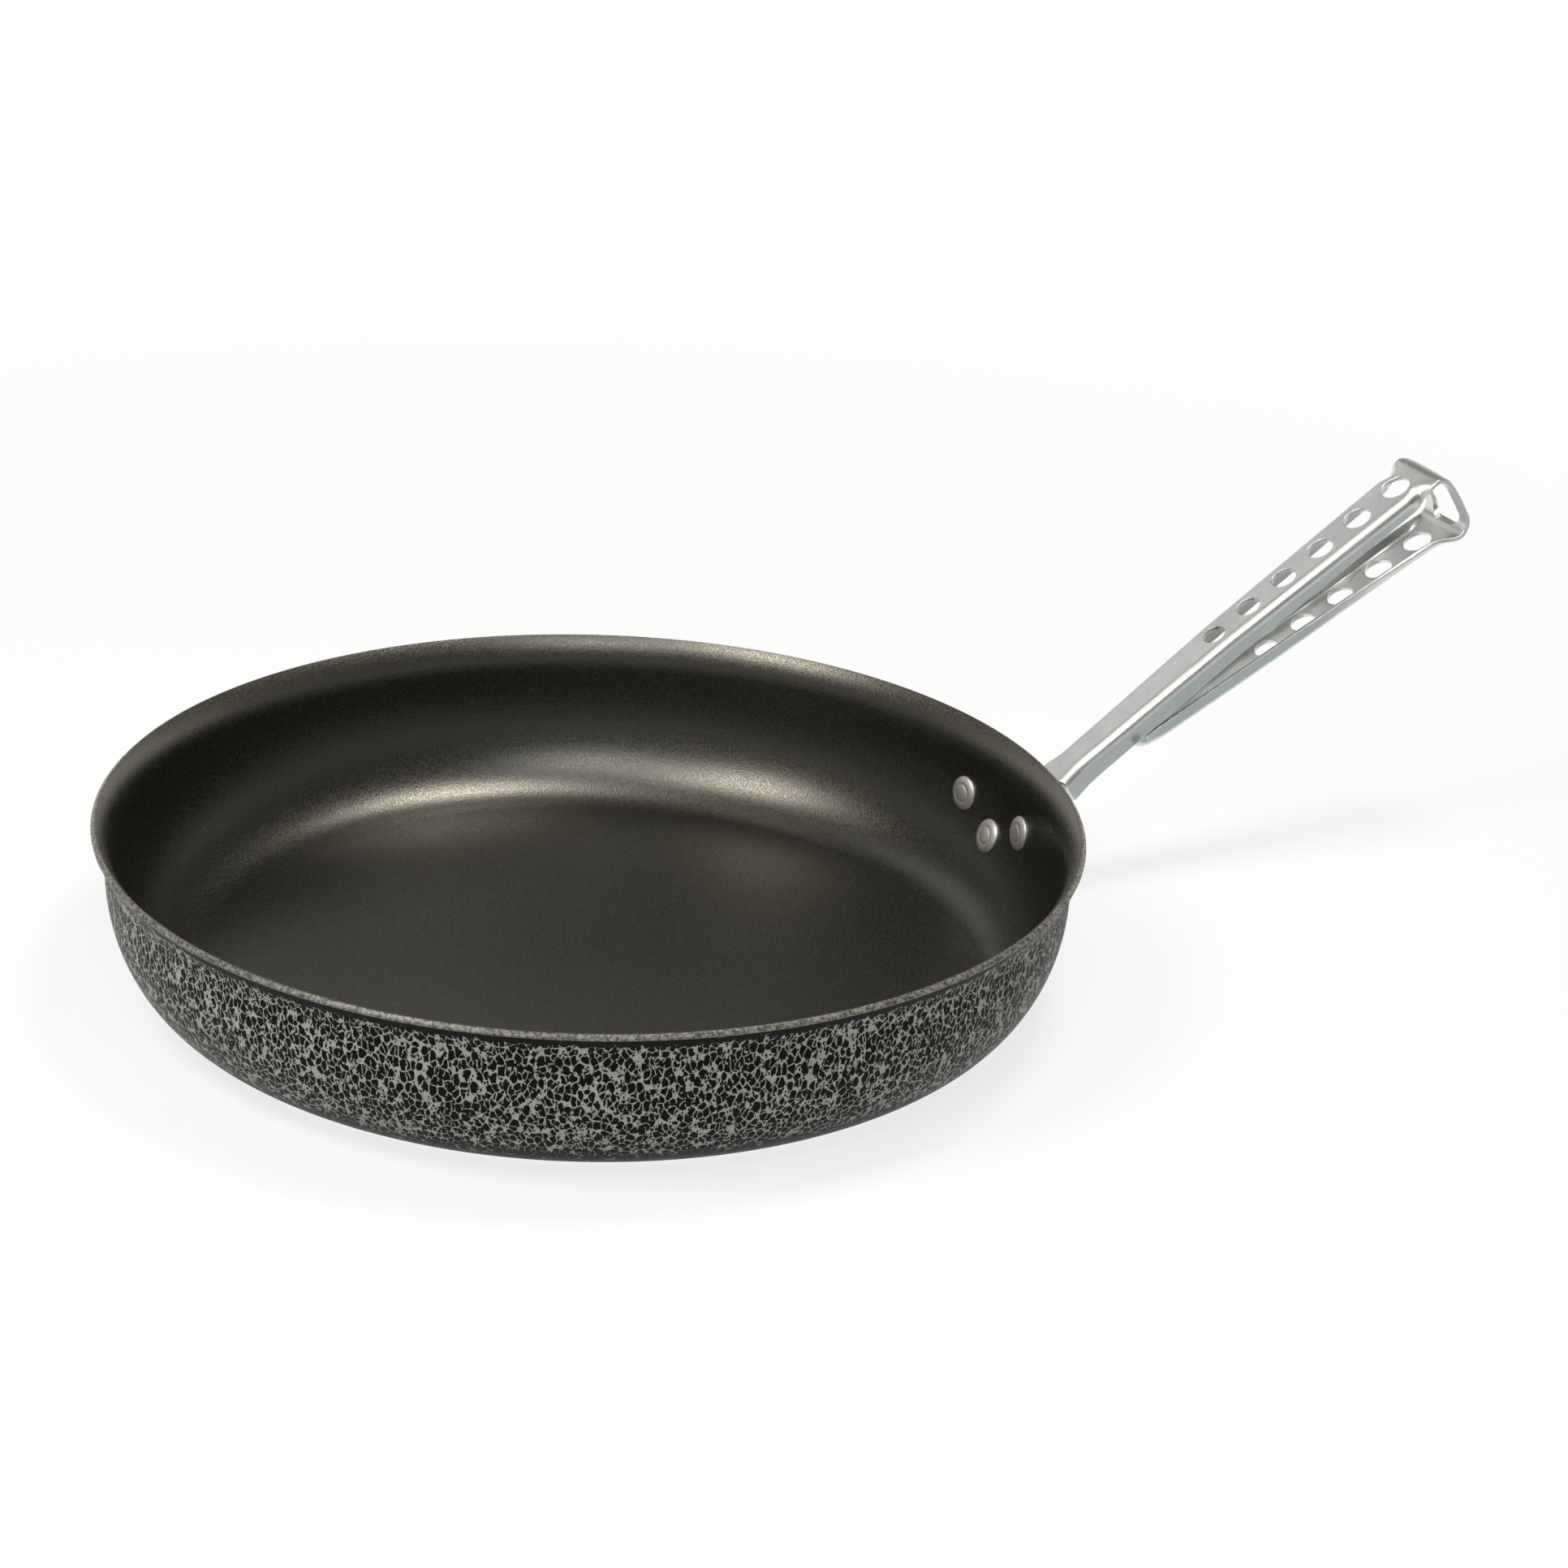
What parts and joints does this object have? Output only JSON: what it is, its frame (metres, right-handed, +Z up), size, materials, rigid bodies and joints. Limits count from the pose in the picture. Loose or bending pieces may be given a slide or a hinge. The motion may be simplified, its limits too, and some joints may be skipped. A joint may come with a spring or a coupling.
{
  "type": "frying pan",
  "caption": "Large shallow frying pan with a flared lip, dark non-stick lining, mottled grey outer coat and a folded, perforated steel strap handle riveted to its wall.",
  "frame": {"origin": "centre of the flat base, on the surface that the pan stands on", "axes": "+X along the handle, away from the bowl; +Z up; the pan is symmetric about the XZ plane"},
  "size_m": [0.5518, 0.36, 0.1493],
  "materials": {
    "bare_aluminium": "turned bare metal",
    "nonstick": "satin, finely speckled",
    "mottled_coat": "satin, grey veins round black cells",
    "plated_steel": "soft bright plate",
    "rivet_aluminium": "matte"
  },
  "bodies": {
    "root": {"pan_body": "bare_aluminium", "nonstick_lining": "nonstick", "outer_coat": "mottled_coat", "handle_strap": "plated_steel", "rivet_high_left": "rivet_aluminium", "rivet_high_right": "rivet_aluminium", "rivet_low": "rivet_aluminium"}
  },
  "joints": []
}
